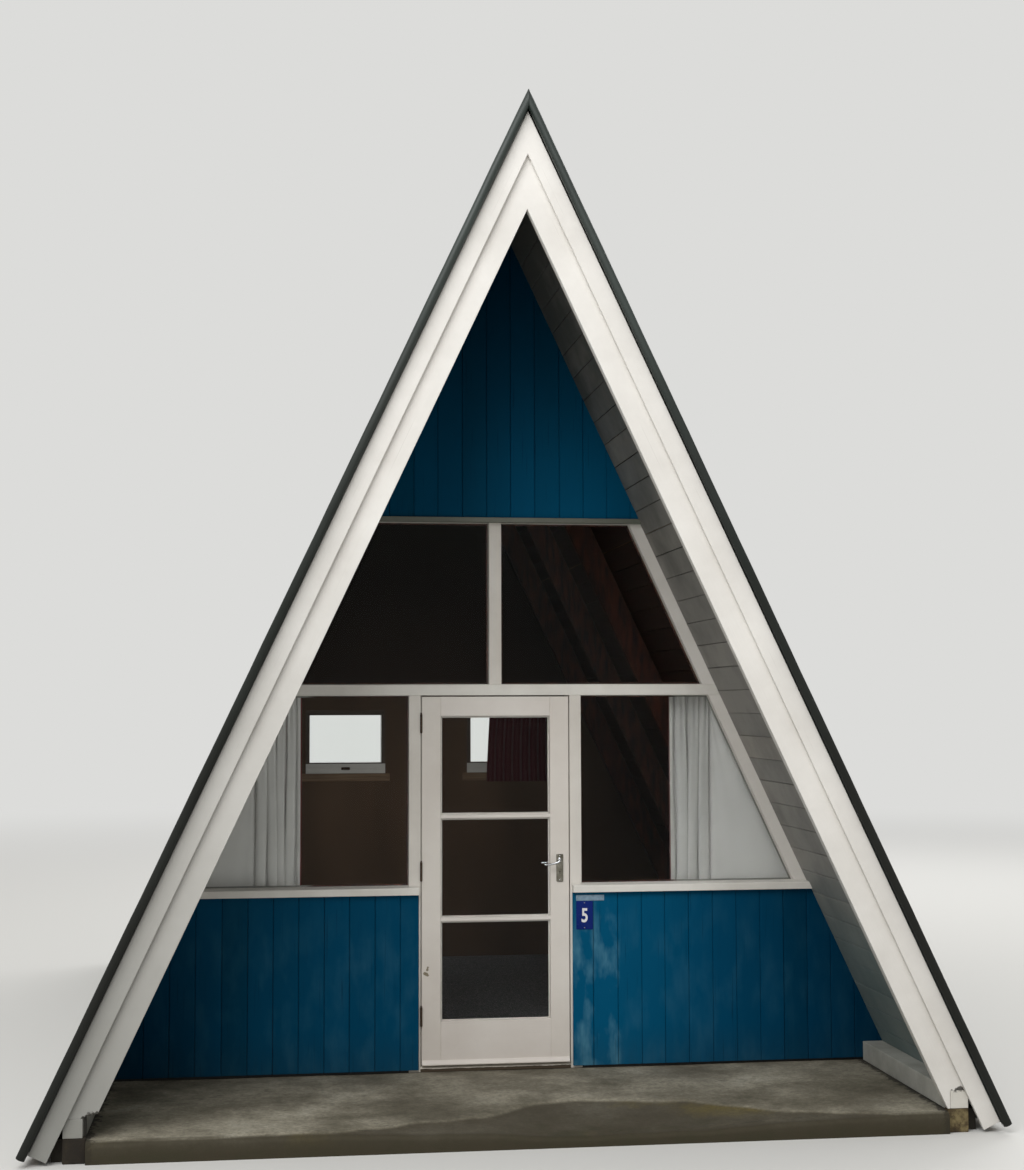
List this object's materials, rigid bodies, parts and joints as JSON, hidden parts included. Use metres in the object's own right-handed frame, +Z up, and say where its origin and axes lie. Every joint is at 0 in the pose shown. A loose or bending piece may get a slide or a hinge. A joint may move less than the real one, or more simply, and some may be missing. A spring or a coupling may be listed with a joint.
{
  "type": "a-frame cabin",
  "caption": "Steep A-frame cabin on a concrete slab, recessed glazed front with half-glazed door, blue boarding, white barges and corrugated roof.",
  "frame": {"origin": "on the ground, under the middle of the building", "axes": "+Z up, the front with the door faces -Y, +X to the right seen from the front"},
  "size_m": [4.696, 6.646, 5.0607],
  "materials": {
    "concrete": "weathered trowelled concrete",
    "carpet_pile": "dark flecked loop pile",
    "barge_paint": "white gloss paint on sawn timber",
    "frame_paint": "white gloss paint on planed timber",
    "door_paint": "white gloss paint on a joined door",
    "rafter_stain": "dark red-brown stained timber",
    "lining_boards": "grey-white painted soffit, dark stained ceiling",
    "batten_timber": "bare sawn pine",
    "roof_steel": "dark green-grey paint on corrugated steel",
    "cap_steel": "dark green-grey paint on folded steel",
    "wall_frame": "framed wall lined with stained board",
    "blue_boards": "blue acrylic paint on upright boards, worn paler in places",
    "window_glass": "clear float glass",
    "door_glass": "clear float glass",
    "hinge_bronze": "dark brown oxidised steel",
    "chrome": "polished chrome plate",
    "number_enamel": "blue enamel",
    "strip_enamel": "pale blue-grey enamel",
    "curtain_cloth": "white lined cotton, dull red inside",
    "back_curtain_cloth": "dark maroon cotton",
    "track": "satin"
  },
  "bodies": {
    "root": {"floor_slab": "concrete", "corner_piers": "concrete", "carpet": "carpet_pile", "toe_board_left": "barge_paint", "toe_board_right": "barge_paint", "foot_blocks": "barge_paint", "barge_rafters_front": "barge_paint", "barge_rafters_rear": "barge_paint", "rafters_left": "rafter_stain", "rafters_right": "rafter_stain", "ridge_board": "rafter_stain", "lining_left": "lining_boards", "lining_right": "lining_boards", "battens_left": "batten_timber", "battens_right": "batten_timber", "roofing_left": "roof_steel", "roofing_right": "roof_steel", "ridge_cap": "cap_steel", "barge_caps_front": "cap_steel", "barge_caps_rear": "cap_steel", "barge_boards_front": "barge_paint", "barge_boards_rear": "barge_paint", "front_wall_left": "wall_frame", "front_wall_right": "wall_frame", "front_cladding_left": "blue_boards", "front_cladding_right": "blue_boards", "gable_wall": "wall_frame", "gable_cladding": "blue_boards", "door_post_left": "frame_paint", "door_post_right": "frame_paint", "threshold": "frame_paint", "transom": "frame_paint", "mullion": "frame_paint", "gable_rail": "frame_paint", "slope_frame_left": "frame_paint", "slope_frame_right": "frame_paint", "sill_left": "frame_paint", "sill_right": "frame_paint", "upper_panes": "window_glass", "lower_panes": "window_glass", "hinge_frame_halves": "hinge_bronze", "number_plate": "number_enamel", "name_strip": "strip_enamel", "rear_wall": "wall_frame", "rear_cladding": "blue_boards", "rear_window_frames": "frame_paint", "rear_panes": "window_glass", "curtain_front_left": "curtain_cloth", "curtain_front_right": "curtain_cloth", "curtain_rear": "back_curtain_cloth", "curtain_tracks": "track"},
    "door": {"door_leaf": "door_paint", "door_glass": "door_glass", "weather_bar": "door_paint", "hinge_door_halves": "hinge_bronze", "handle_plates": "chrome"},
    "lever": {"lever_handles": "chrome"}
  },
  "joints": [
    {"name": "door_hinge", "type": "hinge", "parent": "root", "child": "door", "pos_m": [-0.4075, -1.968, 1.131], "axis": [0, 0, -1], "range_deg": [0, 100]},
    {"name": "lever_turn", "type": "hinge", "parent": "door", "child": "lever", "pos_m": [0.35275, -1.94, 1.23], "axis": [0, -1, 0], "range_deg": [0, 40], "stiffness_Nm_per_rad": 0.9, "springref_deg": -20.05}
  ]
}
